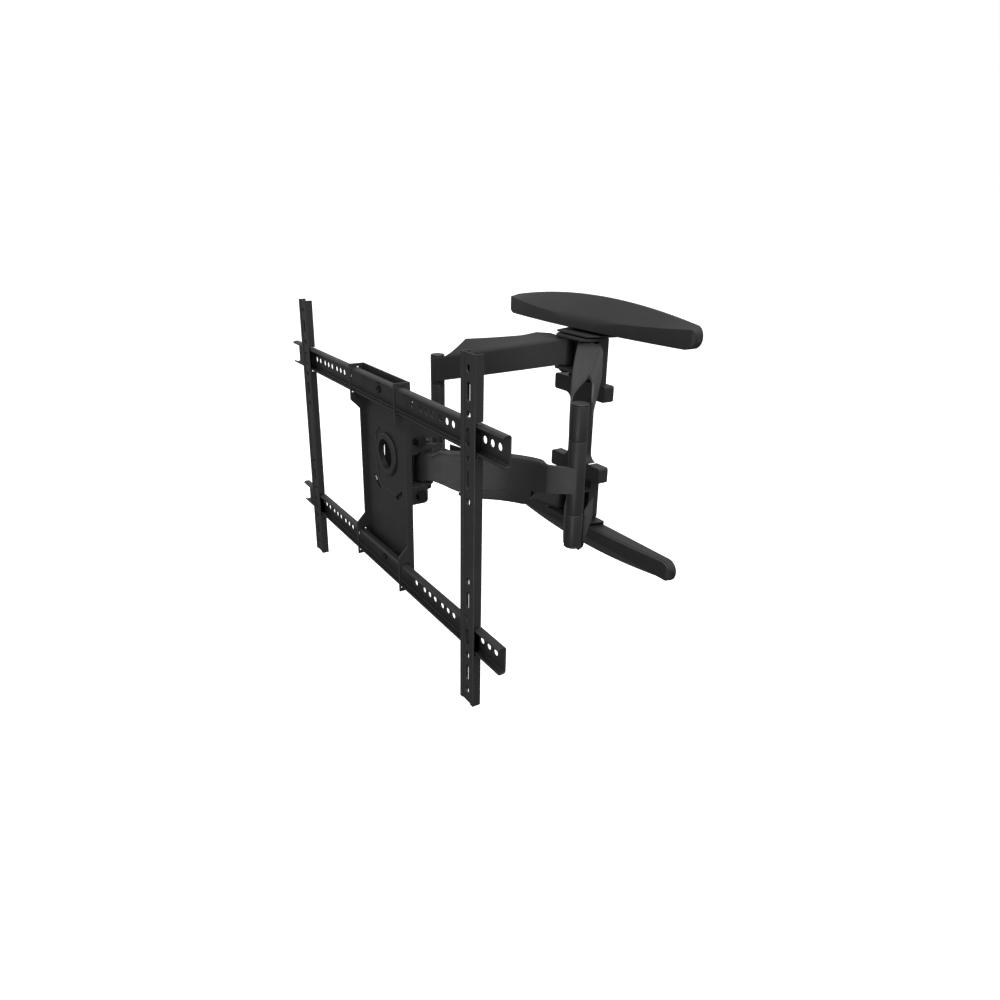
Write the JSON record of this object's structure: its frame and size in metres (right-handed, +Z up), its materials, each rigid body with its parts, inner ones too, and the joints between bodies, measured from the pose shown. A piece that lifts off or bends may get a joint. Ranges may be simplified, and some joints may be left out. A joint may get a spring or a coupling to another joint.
{
  "type": "full-motion TV wall mount",
  "caption": "Folding-arm TV wall mount: slotted wall bracket with covers, hooded arms, tilting and levelling head plate, and channel rails that carry sliding screen brackets.",
  "frame": {"origin": "on the wall face, at the centre of the wall bracket", "axes": "+Z up, +X to the right along the rails, -Y out of the wall towards the screen"},
  "size_m": [0.65, 0.3875, 0.451],
  "materials": {
    "steel": "fine satin powder coat, charcoal black",
    "moulding": "fine-grained moulded plastic, charcoal black",
    "bush": "black nylon",
    "pin": "black oxide",
    "fastener": "black oxide"
  },
  "bodies": {
    "bracket": {"wall_column": "steel", "pivot_yoke_upper": "steel", "pivot_yoke_lower": "steel", "wall_plate_upper": "steel", "wall_plate_lower": "steel", "wall_cover_upper": "moulding", "wall_cover_lower": "moulding", "wall_pins": "pin"},
    "arm_left": {"arm_left_upper": "steel", "arm_left_lower": "steel", "wall_bushes_left": "bush", "elbow_pin_left": "pin", "elbow_caps_left": "moulding"},
    "forearm_left": {"forearm_left": "steel", "cable_cover_left": "moulding", "elbow_bushes_left": "bush", "head_bushes_left": "bush"},
    "arm_right": {"arm_right_upper": "steel", "arm_right_lower": "steel", "wall_bushes_right": "bush", "elbow_pin_right": "pin", "elbow_caps_right": "moulding"},
    "forearm_right": {"forearm_right": "steel", "cable_cover_right": "moulding", "elbow_bushes_right": "bush", "head_bushes_right": "bush"},
    "head": {"head_block": "steel", "head_pins": "pin", "head_pin_nuts": "fastener", "tilt_pivot_bolts": "fastener", "tilt_lock_bolts": "fastener"},
    "tilt": {"tilt_plate": "steel", "level_hub": "steel", "level_screws": "fastener"},
    "screen": {"tv_plate": "steel", "rail_upper": "steel", "rail_lower": "steel", "rail_bolts": "fastener", "rail_spacers": "steel", "rail_nuts": "fastener"},
    "tv_arm_left": {"tv_arm_left": "steel", "slide_nuts_left": "fastener", "slide_bolts_left": "fastener"},
    "tv_arm_right": {"tv_arm_right": "steel", "slide_nuts_right": "fastener", "slide_bolts_right": "fastener"}
  },
  "joints": [
    {"name": "extend", "type": "hinge", "parent": "bracket", "child": "arm_left", "pos_m": [-0.025, -0.038, 0], "axis": [0, 0, 1], "range_deg": [-38, 28]},
    {"name": "arm_right_pivot", "type": "hinge", "parent": "bracket", "child": "arm_right", "pos_m": [0.025, -0.038, 0], "axis": [0, 0, 1], "range_deg": [-28, 38]},
    {"name": "elbow_left", "type": "hinge", "parent": "arm_left", "child": "forearm_left", "pos_m": [-0.1943, -0.18006, 0], "axis": [0, 0, 1], "range_deg": [-56, 76]},
    {"name": "elbow_right", "type": "hinge", "parent": "arm_right", "child": "forearm_right", "pos_m": [0.1943, -0.18006, 0], "axis": [0, 0, 1], "range_deg": [-76, 56]},
    {"name": "head_pivot", "type": "hinge", "parent": "forearm_left", "child": "head", "pos_m": [-0.025, -0.32211, 0], "axis": [0, 0, 1], "range_deg": [-38, 28]},
    {"name": "tilt", "type": "hinge", "parent": "head", "child": "tilt", "pos_m": [0, -0.33561, -0.047], "axis": [1, 0, 0], "range_deg": [-5, 15]},
    {"name": "level", "type": "hinge", "parent": "tilt", "child": "screen", "pos_m": [0, -0.36701, 0.007], "axis": [0, 1, 0], "range_deg": [-3, 3]},
    {"name": "tv_arm_left_slide", "type": "slide", "parent": "screen", "child": "tv_arm_left", "axis": [1, 0, 0], "range_m": [-0.05, 0.16]},
    {"name": "tv_arm_right_slide", "type": "slide", "parent": "screen", "child": "tv_arm_right", "axis": [1, 0, 0], "range_m": [-0.16, 0.05]}
  ],
  "couplings": [
    {"joint": "arm_right_pivot", "follows": "extend", "ratio": -1},
    {"joint": "elbow_left", "follows": "extend", "ratio": -2},
    {"joint": "elbow_right", "follows": "extend", "ratio": 2},
    {"joint": "head_pivot", "follows": "extend", "ratio": 1}
  ]
}
